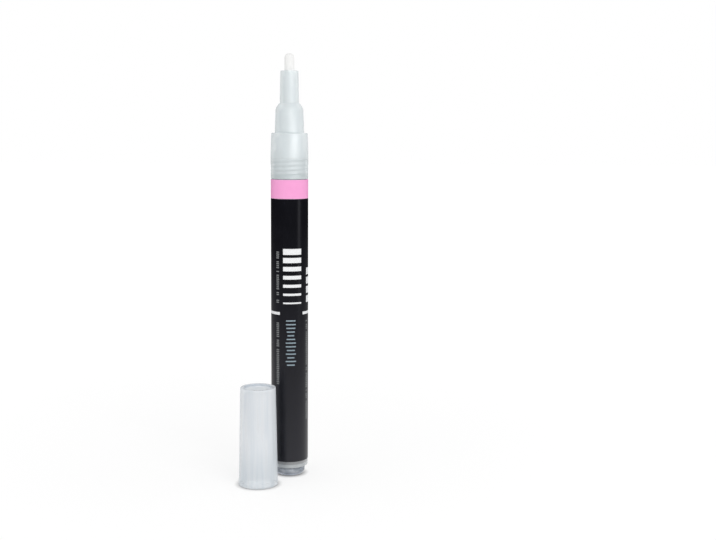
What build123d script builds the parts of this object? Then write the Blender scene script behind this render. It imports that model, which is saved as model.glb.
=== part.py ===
from build123d import *
import math
import os

# A slim refillable paint marker with a pump valve. It stands on its tail with the nib up.
# Its cap is off and stands beside it, mouth down.
# Millimetres. The origin is the centre of the tail face, +Z runs up the axis to the nib,
# +X is to the right and +Y is away from the front.

# Clearances
fit_gap = 0.02  # between pieces that are pressed, snapped or glued together
running_gap = 0.05  # between a sliding piece and its guide
passing_gap = 0.25  # between pieces that pass each other and never touch
cut_overrun = 1.0  # how far a cut runs past the wall it opens

# Valve cartridge
cage_radius = 3.4
cage_wall = 0.5
cage_length = 11.2
cage_floor = 0.9
cage_drain_radius = 1.2
window_width = 2.6
window_sill = 1.3
window_head = 0.9
flange_thickness = 1.2
flange_slack = 0.1
skirt_wall = 0.42
skirt_length = 2.4
flow_gap = 0.45
seat_width = 0.65
poppet_rim = 0.7
fin_thickness = 0.6
core_radius = 0.6
pad_thickness = 0.8
pad_lip = 0.15
pump_stroke = 3.0
pin_room = 0.3

# Return spring
wire_diameter = 0.36
wire_sides = 8
spring_margin = 0.45
spring_turns = 6
spring_end_share = 0.35
pin_clearance = 0.27

# Tail plug
foot_height = 3.0
foot_lip = 0.3
foot_round = 1.5
plug_floor = 1.5
plug_grip = 6.0
plug_wall = 0.73
plug_corner = 0.6

# Mixing balls
ball_radius = 1.75
ball_wall_gap = 0.2

# Barrel
barrel_length = 93.8
barrel_wall = 1.23
barrel_edge = 0.25
shoulder_wall = 1.4
shoulder_cone = 1.3
neck_length = 6.6
neck_wall = 0.8
gasket_thickness = 0.8

# Printed films
film_thickness = 0.1
film_seam = 0.1
label_start = 2.2
band_width = 6.0

# Nose
thread_depth = 0.55
collar_wall = 1.0
collar_seam = 0.2
collar_straight = 7.0
collar_draft = 0.2
collar_edge = 0.4
collar_base_edge = 0.25
collar_lead = 0.3
clamp_step = 0.6
chamber_height = 4.7
nose_wall = 1.3
mid_length = 9.3
mid_wall = 1.2
mid_draft = 0.25
shoulder_height = 1.5
shoulder_land = 0.2
shoulder_round = 2.7
tip_step = 1.35
tip_length = 10.2
tip_wall = 0.9
tip_draft = 0.2
tip_edge = 0.25
lip_length = 1.4
rib_height = 0.35
rib_width = 0.6
rib_count = 4
rib_root = 0.3

# Nib
nib_radius = 1.55
nib_length = 22.0
nib_reach = 5.5
nib_dome = 1.5
nib_chamfer = 0.3

# Cap
cap_fit = 0.1
cap_wall = 1.45
cap_draft = 0.6
cap_bore_draft = 0.3
cap_seat_length = 8.0
cap_lead = 0.4
cap_lip = 0.1
cap_lip_height = 1.8
cap_lip_edge = 0.4
cap_top = 1.3
cap_top_edge = 0.25
cap_recess = 0.9
cap_rim = 1.15
nib_room = 4.4
liner_fit = 0.15
liner_wall = 0.7
liner_flange = 0.8
liner_length = 12.7
liner_lead = 0.2
cap_clear = 3.2
cap_bearing = 231.0  # degrees from +X round to the cap's axis

# Radii, worked outwards from the valve to the barrel's wall
cage_bore = cage_radius - cage_wall
skirt_radius = cage_bore - fit_gap
skirt_bore = skirt_radius - skirt_wall
poppet_radius = skirt_bore - flow_gap
fin_radius = poppet_radius - seat_width
seat_bore = math.hypot(fin_radius, fin_thickness / 2) + running_gap
spring_radius = poppet_radius - spring_margin
guide_pin_radius = spring_radius - wire_diameter / 2 - pin_clearance
neck_bore = cage_radius + passing_gap
neck_radius = neck_bore + neck_wall
thread_bore = neck_radius + thread_depth
flange_radius = thread_bore - flange_slack
collar_radius = thread_bore + collar_wall
film_radius = collar_radius
barrel_radius = film_radius - film_thickness - fit_gap
barrel_bore = barrel_radius - barrel_wall
chamber_bore = thread_bore - clamp_step

# Radii, worked outwards from the nib to the cap's wall
nib_bore = nib_radius + running_gap
tip_bore = nib_bore + rib_height
tip_radius = tip_bore + tip_wall
tip_base_radius = tip_radius + tip_draft
mid_top_radius = tip_base_radius + tip_step
mid_base_radius = mid_top_radius + mid_draft
mid_bore = mid_top_radius - mid_wall
pad_radius = nib_radius + pad_lip
cap_bore = mid_base_radius + cap_fit
cap_mouth_radius = cap_bore + cap_wall
cap_top_radius = cap_mouth_radius - cap_draft
cap_top_bore = cap_bore - cap_bore_draft
cap_lip_radius = cap_mouth_radius + cap_lip
liner_bore = tip_radius + liner_fit
liner_radius = liner_bore + liner_wall
liner_flange_radius = cap_top_bore - fit_gap

# Radii of the tail plug and the balls that lie in it
foot_radius = barrel_bore + foot_lip
plug_radius = barrel_bore - fit_gap
plug_bore = plug_radius - plug_wall
ball_offset = plug_bore - ball_wall_gap - ball_radius

# Heights up the marker's axis
plug_top_z = foot_height + plug_grip
shoulder_z = foot_height + barrel_length
neck_top_z = shoulder_z + neck_length
gasket_top_z = neck_top_z + gasket_thickness
flange_top_z = gasket_top_z + flange_thickness
skirt_end_z = gasket_top_z - skirt_length
cage_bottom_z = gasket_top_z - cage_length
cage_floor_z = cage_bottom_z + cage_floor
collar_base_z = shoulder_z + collar_seam
collar_draft_z = collar_base_z + collar_straight
chamber_top_z = flange_top_z + chamber_height
ledge_z = chamber_top_z + nose_wall
mid_top_z = ledge_z + mid_length
tip_end_z = mid_top_z + tip_length
nib_tip_z = tip_end_z + nib_reach
nib_rear_z = nib_tip_z - nib_length
band_top_z = shoulder_z - film_seam
band_base_z = band_top_z - band_width
label_top_z = band_base_z - film_seam
label_base_z = foot_height + label_start
seat_depth = poppet_radius - seat_bore
poppet_top_z = gasket_top_z - running_gap
poppet_base_z = poppet_top_z - poppet_rim
guide_pin_z = cage_floor_z + pump_stroke + pin_room
pad_base_z = nib_rear_z - pad_thickness

# Heights inside the cap, from its mouth
cap_depth = nib_tip_z - ledge_z + nib_room
cap_height = cap_depth + cap_top + cap_recess
liner_flange_z = cap_depth - liner_flange
liner_mouth_z = liner_flange_z - liner_length

# The cap stands beside the barrel, clear of it
cap_distance = film_radius + cap_lip_radius + cap_clear
cap_x = cap_distance * math.cos(math.radians(cap_bearing))
cap_y = cap_distance * math.sin(math.radians(cap_bearing))
cap_plane = Plane(origin=(cap_x, cap_y, 0), x_dir=(1, 0, 0), z_dir=(0, -1, 0))
cap_axis = Axis((cap_x, cap_y, 0), (0, 0, 1))

os.makedirs("parts", exist_ok=True)

# Barrel: a tube with a stepped neck that carries the nose's thread
with BuildPart() as barrel:
    with BuildSketch(Plane.XZ):
        with BuildLine():
            Polyline(
                (barrel_radius - barrel_edge, foot_height),
                (barrel_radius, foot_height + barrel_edge),
                (barrel_radius, shoulder_z - barrel_edge),
                (barrel_radius - barrel_edge, shoulder_z),
                (neck_radius, shoulder_z),
                (neck_radius, neck_top_z),
                (neck_bore, neck_top_z),
                (neck_bore, shoulder_z - shoulder_wall),
                (barrel_bore, shoulder_z - shoulder_wall - shoulder_cone),
                (barrel_bore, foot_height),
                close=True,
            )
        make_face()
    revolve(axis=Axis.Z)
barrel.part.label = "barrel"
export_step(barrel.part, "parts/barrel.step")

# Tail plug: a cup pressed into the barrel, with a rounded foot that the marker stands on
with BuildPart() as tail_plug:
    with BuildSketch(Plane.XZ):
        with BuildLine():
            FilletPolyline(
                (0, 0),
                (foot_radius, 0),
                (foot_radius, foot_height),
                (plug_radius, foot_height),
                (plug_radius, plug_top_z),
                (plug_bore, plug_top_z),
                (plug_bore, plug_floor + plug_corner),
                (plug_bore - plug_corner, plug_floor),
                (0, plug_floor),
                radius=[0, foot_round, 0, 0, 0, 0, 0, 0, 0],
                close=True,
            )
        make_face()
    revolve(axis=Axis.Z)
tail_plug.part.label = "tail_plug"
export_step(tail_plug.part, "parts/tail_plug.step")

# Two steel balls lie side by side on the plug's floor and stir the paint when it is shaken
ball_z = plug_floor + running_gap + ball_radius
for number, side in enumerate((-1, 1), start=1):
    with BuildPart() as mixing_ball:
        with Locations((side * ball_offset, 0, ball_z)):
            Sphere(ball_radius)
    mixing_ball.part.label = f"mixing_ball_{number}"
    export_step(mixing_ball.part, f"parts/mixing_ball_{number}.step")

# Label film round the barrel
with BuildPart() as label_sleeve:
    with BuildSketch(Plane.XY.offset(label_base_z)):
        Circle(film_radius)
        Circle(film_radius - film_thickness, mode=Mode.SUBTRACT)
    extrude(amount=label_top_z - label_base_z)
label_sleeve.part.label = "label_sleeve"
export_step(label_sleeve.part, "parts/label_sleeve.step")

# Colour band, a film ring at the top of the barrel
with BuildPart() as colour_band:
    with BuildSketch(Plane.XY.offset(band_base_z)):
        Circle(film_radius)
        Circle(film_radius - film_thickness, mode=Mode.SUBTRACT)
    extrude(amount=band_width)
colour_band.part.label = "colour_band"
export_step(colour_band.part, "parts/colour_band.step")

# Gasket that seals the valve's flange on the barrel's neck
with BuildPart() as neck_gasket:
    with BuildSketch(Plane.XY.offset(neck_top_z)):
        Circle(neck_radius)
        Circle(neck_bore, mode=Mode.SUBTRACT)
    extrude(amount=gasket_thickness)
neck_gasket.part.label = "neck_gasket"
export_step(neck_gasket.part, "parts/neck_gasket.step")

# Nose: a screwed collar, a middle tier that takes the cap and a slim tip that guides the nib
with BuildPart() as nose:
    with BuildSketch(Plane.XZ):
        with BuildLine():
            FilletPolyline(
                (collar_radius - collar_base_edge, collar_base_z),
                (collar_radius, collar_base_z + collar_base_edge),
                (collar_radius, collar_draft_z),
                (collar_radius - collar_draft, ledge_z - collar_edge),
                (collar_radius - collar_draft - collar_edge, ledge_z),
                (mid_base_radius, ledge_z),
                (mid_top_radius, mid_top_z - shoulder_height),
                (tip_base_radius + shoulder_land, mid_top_z),
                (tip_base_radius, mid_top_z),
                (tip_radius, tip_end_z - tip_edge),
                (tip_radius - tip_edge, tip_end_z),
                (nib_bore, tip_end_z),
                (nib_bore, tip_end_z - lip_length),
                (tip_bore, tip_end_z - lip_length - rib_height),
                (tip_bore, mid_top_z - mid_wall + rib_height),
                (mid_bore, mid_top_z - tip_step - mid_wall),
                (mid_bore, chamber_top_z),
                (chamber_bore, chamber_top_z),
                (chamber_bore, flange_top_z),
                (thread_bore, flange_top_z),
                (thread_bore, collar_base_z + collar_lead),
                (thread_bore + collar_lead, collar_base_z),
                radius=[0, 0, 0, 0, 0, 0, shoulder_round, 0, 0, 0, 0, 0, 0, 0, 0, 0, 0, 0, 0, 0, 0, 0],
                close=True,
            )
        make_face()
    revolve(axis=Axis.Z)
    # Ribs in the tip hold the nib on its line and leave room for paint and air between them
    with BuildSketch(Plane.XY.offset(mid_top_z)):
        with PolarLocations(nib_bore, rib_count):
            Rectangle(rib_height + rib_root, rib_width, align=(Align.MIN, Align.CENTER))
        Circle(nib_bore, mode=Mode.SUBTRACT)
    extrude(amount=tip_length - lip_length)
nose.part.label = "nose"
export_step(nose.part, "parts/nose.step")

# Valve body: the flange under the nose, with the seat in its lower face and a skirt below
with BuildPart() as valve_body:
    with BuildSketch(Plane.XZ):
        with BuildLine():
            Polyline(
                (seat_bore, flange_top_z),
                (flange_radius, flange_top_z),
                (flange_radius, gasket_top_z),
                (skirt_radius, gasket_top_z),
                (skirt_radius, skirt_end_z),
                (skirt_bore, skirt_end_z),
                (skirt_bore, gasket_top_z),
                (poppet_radius, gasket_top_z),
                (seat_bore, gasket_top_z + seat_depth),
                close=True,
            )
        make_face()
    revolve(axis=Axis.Z)
valve_body.part.label = "valve_body"
export_step(valve_body.part, "parts/valve_body.step")

# Valve cage: a cup snapped over the skirt, with four windows that let the paint in
with BuildPart() as valve_cage:
    with BuildSketch(Plane.XZ):
        with BuildLine():
            Polyline(
                (cage_drain_radius, cage_bottom_z),
                (cage_radius, cage_bottom_z),
                (cage_radius, gasket_top_z),
                (cage_bore, gasket_top_z),
                (cage_bore, cage_floor_z),
                (cage_drain_radius, cage_floor_z),
                close=True,
            )
        make_face()
    revolve(axis=Axis.Z)
    window_low_z = cage_floor_z + window_sill
    window_high_z = skirt_end_z - window_head
    for window_plane in (Plane.XZ, Plane.YZ):
        with BuildSketch(window_plane):
            with Locations((0, (window_low_z + window_high_z) / 2)):
                SlotOverall(window_high_z - window_low_z, window_width, rotation=90)
        extrude(amount=cage_radius + cut_overrun, both=True, mode=Mode.SUBTRACT)
valve_cage.part.label = "valve_cage"
export_step(valve_cage.part, "parts/valve_cage.step")

# Valve stem: a pad under the nib, a finned rod through the seat, a poppet and a guide pin
with BuildPart() as valve_stem:
    with BuildSketch(Plane.XZ):
        with BuildLine():
            Polyline(
                (0, nib_rear_z),
                (pad_radius, nib_rear_z),
                (pad_radius, pad_base_z),
                (core_radius, pad_base_z),
                (core_radius, poppet_top_z + seat_depth),
                (seat_bore, poppet_top_z + seat_depth),
                (poppet_radius, poppet_top_z),
                (poppet_radius, poppet_base_z),
                (guide_pin_radius, poppet_base_z),
                (guide_pin_radius, guide_pin_z),
                (0, guide_pin_z),
                close=True,
            )
        make_face()
    revolve(axis=Axis.Z)
    with BuildSketch(Plane.XY.offset(poppet_top_z)):
        with PolarLocations(0, 2, angular_range=180):
            Rectangle(2 * fin_radius, fin_thickness)
    extrude(amount=pad_base_z - poppet_top_z)
valve_stem.part.label = "valve_stem"
export_step(valve_stem.part, "parts/valve_stem.step")


def spring_place(turn):
    """The wire's centre after a number of turns, and its direction there, closer at both ends."""
    low_z = cage_floor_z + running_gap + wire_diameter / 2
    climb = poppet_base_z - running_gap - wire_diameter / 2 - low_z
    done = turn / spring_turns
    angle = 2 * math.pi * turn
    wave = 2 * math.pi * done
    height = low_z + climb * (done - spring_end_share * math.sin(wave) / (2 * math.pi))
    rise = climb / spring_turns * (1 - spring_end_share * math.cos(wave)) / (2 * math.pi)
    place = Vector(spring_radius * math.cos(angle), spring_radius * math.sin(angle), height)
    heading = Vector(-spring_radius * math.sin(angle), spring_radius * math.cos(angle), rise)
    return place, heading.normalized()


def biarc_joint(start, start_heading, end, end_heading):
    """Where two equal-reach arcs meet that leave one point and reach the other on its heading."""
    chord = end - start
    both = start_heading + end_heading
    square = 2 * (1 - start_heading.dot(end_heading))
    reach_term = chord.dot(both)
    reach = (math.sqrt(reach_term**2 + square * chord.dot(chord)) - reach_term) / square
    return (start + end + (start_heading - end_heading) * reach) / 2


# Return spring: one open coil of wire between the cage's floor and the poppet
quarter_turns = 4
with BuildPart() as valve_spring:
    with BuildLine() as spring_path:
        for quarter in range(quarter_turns * spring_turns):
            start, start_heading = spring_place(quarter / quarter_turns)
            end, end_heading = spring_place((quarter + 1) / quarter_turns)
            joint = biarc_joint(start, start_heading, end, end_heading)
            first_arc = TangentArc(start, joint, tangent=start_heading)
            TangentArc(joint, end, tangent=first_arc % 1)
    with BuildSketch(Plane(origin=spring_path.line @ 0, z_dir=spring_path.line % 0)):
        RegularPolygon(wire_diameter / 2, wire_sides)
    sweep()
valve_spring.part.label = "valve_spring"
export_step(valve_spring.part, "parts/valve_spring.step")

samples_per_turn = 72
sample_count = samples_per_turn * spring_turns + 1
spring_points = [spring_place(step / samples_per_turn)[0] for step in range(sample_count)]
spring_gap = min(
    (later - earlier).length
    for index, earlier in enumerate(spring_points)
    for later in spring_points[index + samples_per_turn // 2 :]
) - wire_diameter
print(f"valve_spring: least gap between its turns {spring_gap:.2f} mm")

# Nib: a felt rod with a domed writing end and a chamfered rear end
with BuildPart() as nib:
    with BuildSketch(Plane.XZ):
        with BuildLine():
            FilletPolyline(
                (0, nib_rear_z),
                (nib_radius - nib_chamfer, nib_rear_z),
                (nib_radius, nib_rear_z + nib_chamfer),
                (nib_radius, nib_tip_z),
                (0, nib_tip_z),
                radius=[0, 0, 0, nib_dome, 0],
                close=True,
            )
        make_face()
    revolve(axis=Axis.Z)
nib.part.label = "nib"
export_step(nib.part, "parts/nib.step")

# Cap shell: a tapering cup with a lip at its mouth and a shallow dish in its closed end
with BuildPart() as cap_shell:
    with BuildSketch(cap_plane):
        with BuildLine():
            Polyline(
                (cap_bore + cap_lead, 0),
                (cap_lip_radius - cap_lip_edge, 0),
                (cap_lip_radius, cap_lip_edge),
                (cap_lip_radius, cap_lip_height),
                (cap_mouth_radius, cap_lip_height + cap_lip),
                (cap_top_radius, cap_height - cap_top_edge),
                (cap_top_radius - cap_top_edge, cap_height),
                (cap_top_radius - cap_rim, cap_height),
                (cap_top_radius - cap_rim, cap_height - cap_recess),
                (0, cap_height - cap_recess),
                (0, cap_depth),
                (cap_top_bore, cap_depth),
                (cap_top_bore, liner_mouth_z),
                (cap_bore, cap_seat_length),
                (cap_bore, cap_lead),
                close=True,
            )
        make_face()
    revolve(axis=cap_axis)
cap_shell.part.label = "cap_shell"
export_step(cap_shell.part, "parts/cap_shell.step")

# Cap liner: a thimble seated in the closed end that seals round the nose's tip
with BuildPart() as cap_liner:
    with BuildSketch(cap_plane):
        with BuildLine():
            Polyline(
                (liner_bore + liner_lead, liner_mouth_z),
                (liner_radius, liner_mouth_z),
                (liner_radius, liner_flange_z),
                (liner_flange_radius, liner_flange_z),
                (liner_flange_radius, cap_depth),
                (0, cap_depth),
                (0, liner_flange_z),
                (liner_bore, liner_flange_z),
                (liner_bore, liner_mouth_z + liner_lead),
                close=True,
            )
        make_face()
    revolve(axis=cap_axis)
cap_liner.part.label = "cap_liner"
export_step(cap_liner.part, "parts/cap_liner.step")
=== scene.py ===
import math

import bmesh
import bpy
from bpy.props import FloatProperty, FloatVectorProperty, IntProperty, PointerProperty
from bpy.types import Operator, Panel, PropertyGroup
from mathutils import Matrix, Vector


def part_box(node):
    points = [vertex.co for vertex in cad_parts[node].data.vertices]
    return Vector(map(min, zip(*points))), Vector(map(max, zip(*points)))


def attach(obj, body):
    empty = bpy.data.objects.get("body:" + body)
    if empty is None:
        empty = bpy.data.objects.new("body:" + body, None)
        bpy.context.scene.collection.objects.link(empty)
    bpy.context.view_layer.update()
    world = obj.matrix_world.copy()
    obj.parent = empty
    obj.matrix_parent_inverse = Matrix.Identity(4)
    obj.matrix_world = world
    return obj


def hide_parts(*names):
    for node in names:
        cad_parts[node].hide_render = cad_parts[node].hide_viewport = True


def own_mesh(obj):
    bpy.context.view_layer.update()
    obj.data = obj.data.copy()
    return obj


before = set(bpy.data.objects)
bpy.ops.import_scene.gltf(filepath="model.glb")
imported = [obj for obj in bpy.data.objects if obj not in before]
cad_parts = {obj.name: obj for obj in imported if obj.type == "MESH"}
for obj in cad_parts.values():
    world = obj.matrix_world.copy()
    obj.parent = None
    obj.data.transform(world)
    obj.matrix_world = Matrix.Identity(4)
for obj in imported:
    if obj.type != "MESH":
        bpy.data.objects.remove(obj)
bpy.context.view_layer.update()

bl_info = {
    "name": "Paint Marker",
    "version": (1, 0, 0),
    "blender": (4, 5, 0),
    "location": "View3D > Sidebar > Paint Marker",
    "description": "Dresses a paint marker: frosted nose and cap, printed films, clear tail and felt nib",
    "category": "Object",
}

MM = 0.001
IMAGE_WIDTH = 716  # pixels
SENSOR_WIDTH = 36.0  # millimetres
SEGMENTS = 144  # round a turned piece
ARC_STEP = math.radians(10)  # along a rounded corner
SHARP_ANGLE = math.radians(38)  # past which an edge stays sharp


# Sizes read from the frame


def low_end(node):
    """Lowest height of a CAD node, in metres."""
    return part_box(node)[0][2]


def high_end(node):
    """Highest height of a CAD node, in metres."""
    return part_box(node)[1][2]


def half_width(node):
    """Outer radius of a round CAD node, in metres."""
    low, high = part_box(node)
    return (high[0] - low[0]) / 2


def axis_of(node):
    """Where a round CAD node's axis stands on the floor, in metres."""
    low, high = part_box(node)
    return (low[0] + high[0]) / 2, (low[1] + high[1]) / 2


# Settings


def amount(name, description, default, **kind):
    """A number that is at least 0, unless other limits are given."""
    return FloatProperty(name=name, description=description, default=default, **{"min": 0, **kind})


def length(name, description, metres):
    """A size in metres."""
    return amount(name, description, metres, subtype="DISTANCE", unit="LENGTH", precision=5)


def angle(name, description, degrees):
    """An angle, written in degrees."""
    turn = math.radians(degrees)
    return FloatProperty(name=name, description=description, default=turn, subtype="ANGLE", unit="ROTATION")


def power(name, description, watts):
    """A lamp's power in watts."""
    return amount(name, description, watts, unit="POWER")


def colour(name, description, *rgb):
    """A colour, in linear light."""
    return FloatVectorProperty(
        name=name, description=description, default=(*rgb, 1), size=4, min=0, max=1, subtype="COLOR"
    )


class NoseSettings(PropertyGroup):
    """Sizes of the nose: screwed collar, middle tier and slim tip."""

    straight: length("Collar straight", "Height of the collar's straight stretch", 7.0 * MM)
    ledge: length("Ledge", "Height of the collar's ledge above its base", 14.4 * MM)
    shoulder: length("Shoulder", "Height of the middle tier's top above the collar's base", 23.7 * MM)
    draft: length("Collar draft", "How far the collar narrows towards its ledge", 0.2 * MM)
    middle_base: length("Middle base radius", "Radius of the middle tier at the ledge", 4.65 * MM)
    middle_top: length("Middle top radius", "Radius of the middle tier below its shoulder", 4.4 * MM)
    tip_base: length("Tip base radius", "Radius of the tip where it leaves the shoulder", 3.05 * MM)
    tip_top: length("Tip top radius", "Radius of the tip at the nib", 2.85 * MM)
    thread_bore: length("Thread bore", "Radius of the collar's bore", 5.0 * MM)
    chamber_bore: length("Chamber bore", "Radius of the chamber above the valve's flange", 4.4 * MM)
    chamber_top: length("Chamber top", "Height of the chamber's top above the collar's base", 13.1 * MM)
    middle_bore: length("Middle bore", "Radius of the bore in the middle tier", 3.2 * MM)
    tip_bore: length("Tip bore", "Radius of the bore round the ribs in the tip", 1.95 * MM)
    nib_bore: length("Nib bore", "Radius of the hole that the nib comes out of", 1.6 * MM)
    lip: length("Lip", "Length of the closed ring at the end of the tip", 1.4 * MM)
    shoulder_height: length("Shoulder height", "Height of the cone at the top of the middle tier", 1.5 * MM)
    shoulder_land: length("Shoulder land", "Flat ring between that cone and the tip", 0.2 * MM)
    shoulder_round: length("Shoulder round", "Rounding between the middle tier and its cone", 2.7 * MM)
    ledge_round: length("Ledge round", "Rounding of the collar's upper edge", 0.4 * MM)
    edge_round: length("Edge round", "Rounding of the small edges", 0.2 * MM)
    lead: length("Lead", "Chamfer that leads the neck into the collar", 0.3 * MM)
    skirt: length("Skirt", "How far the collar's lower edge reaches down to narrow the seam", 0.1 * MM)
    rib_count: IntProperty(
        name="Ribs", description="Ribs that guide the nib in the tip", default=4, min=2, max=12
    )
    rib_width: length("Rib width", "Width of one rib", 0.6 * MM)


class ThreadSettings(PropertyGroup):
    """Sizes of the screw thread between the barrel's neck and the nose."""

    pitch: length("Pitch", "Rise of the thread in one turn", 1.4 * MM)
    turns: amount("Turns", "Turns of the thread", 3.9, min=1, max=8)
    depth: length("Depth", "How far the ridge stands out of its wall", 0.4 * MM)
    root: length("Root width", "Width of the ridge at its wall", 0.7 * MM)
    crest: length("Crest width", "Width of the ridge at its top", 0.35 * MM)
    start: length("Start", "Height of the neck's first turn above the barrel's shoulder", 0.8 * MM)
    sink: length("Sink", "How far the ridge is rooted in its wall", 0.06 * MM)


class BarrelSettings(PropertyGroup):
    """Sizes of the barrel and the tail plug."""

    wall: length("Wall", "Thickness of the barrel's wall", 1.23 * MM)
    neck_length: length("Neck length", "Height of the neck above the shoulder", 6.6 * MM)
    neck_radius: length("Neck radius", "Radius of the neck under its thread", 4.45 * MM)
    neck_wall: length("Neck wall", "Thickness of the neck's wall", 0.8 * MM)
    shoulder_wall: length("Shoulder wall", "Thickness of the wall under the shoulder", 1.4 * MM)
    shoulder_cone: length("Shoulder cone", "Height of the cone inside the shoulder", 1.3 * MM)
    edge_round: length("Edge round", "Rounding of the barrel's edges", 0.25 * MM)
    foot_height: length("Foot height", "Height of the foot that shows below the barrel", 3.0 * MM)
    foot_round: length("Foot round", "Rounding of the foot's lower edge", 1.5 * MM)
    plug_radius: length("Plug radius", "Radius of the plug inside the barrel", 4.63 * MM)
    plug_wall: length("Plug wall", "Thickness of the plug's wall", 0.73 * MM)
    plug_floor: length("Plug floor", "Thickness of the plug's floor", 1.5 * MM)
    seat_gap: length("Seat gap", "Gap left between surfaces that rest on each other", 0.02 * MM)


class CapSettings(PropertyGroup):
    """Sizes of the cap and its liner."""

    mouth: length("Mouth radius", "Outer radius above the lip", 6.2 * MM)
    top: length("Top radius", "Outer radius at the closed end", 5.6 * MM)
    bore: length("Bore", "Radius of the mouth's straight bore", 4.75 * MM)
    upper_bore: length("Upper bore", "Radius of the bore round the liner", 4.45 * MM)
    bore_length: length("Bore length", "Height of the straight bore", 8.0 * MM)
    lip_height: length("Lip height", "Height of the lip at the mouth", 1.8 * MM)
    lip_step: length("Lip step", "Height of the step above the lip", 0.1 * MM)
    lip_round: length("Lip round", "Rounding of the lip's lower edge", 0.5 * MM)
    lead: length("Lead", "Chamfer inside the mouth", 0.4 * MM)
    top_round: length("Top round", "Rounding of the closed end's edge", 0.3 * MM)
    rim: length("Rim", "Width of the rim round the dish in the closed end", 1.15 * MM)
    dish: length("Dish", "Depth of the dish in the closed end", 0.9 * MM)
    dish_round: length("Dish round", "Rounding at the foot of the dish's wall", 0.35 * MM)
    end_wall: length("End wall", "Thickness of the closed end", 1.3 * MM)
    liner_radius: length("Liner radius", "Outer radius of the liner", 3.7 * MM)
    liner_bore: length("Liner bore", "Inner radius of the liner", 3.0 * MM)
    liner_flange: length("Liner flange", "Thickness of the liner's flange", 0.8 * MM)
    liner_round: length("Liner round", "Rounding inside the liner's closed end", 0.6 * MM)
    edge_round: length("Edge round", "Rounding of the small edges", 0.15 * MM)


class NibSettings(PropertyGroup):
    """Sizes of the felt nib."""

    dome: length("Dome", "Rounding of the writing end", 1.5 * MM)
    chamfer: length("Chamfer", "Chamfer at the rear end", 0.3 * MM)


class SpringSettings(PropertyGroup):
    """Sizes of the valve's spring."""

    wire: length("Wire", "Diameter of the wire", 0.36 * MM)
    turns: amount("Turns", "Turns of the wire", 6, min=1)
    end_share: amount("End share", "How much closer the end turns lie", 0.35, max=1)


class FilmSettings(PropertyGroup):
    """Sizes of the films round the barrel and of the plain marks printed on them."""

    thickness: length("Thickness", "Thickness of the films", 0.1 * MM)
    edge_round: length("Edge round", "Rounding of the films' edges", 0.03 * MM)
    ink: length("Ink", "Thickness of the printed ink", 0.02 * MM)
    lap_width: length("Lap width", "Width of the label's overlap at the back", 1.6 * MM)
    lap_height: length("Lap height", "How far the overlap stands proud", 0.04 * MM)
    ring_height: length("Ring height", "Height of the white ring on the label", 54.0 * MM)
    ring_width: length("Ring width", "Width of the white ring on the label", 0.9 * MM)


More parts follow.
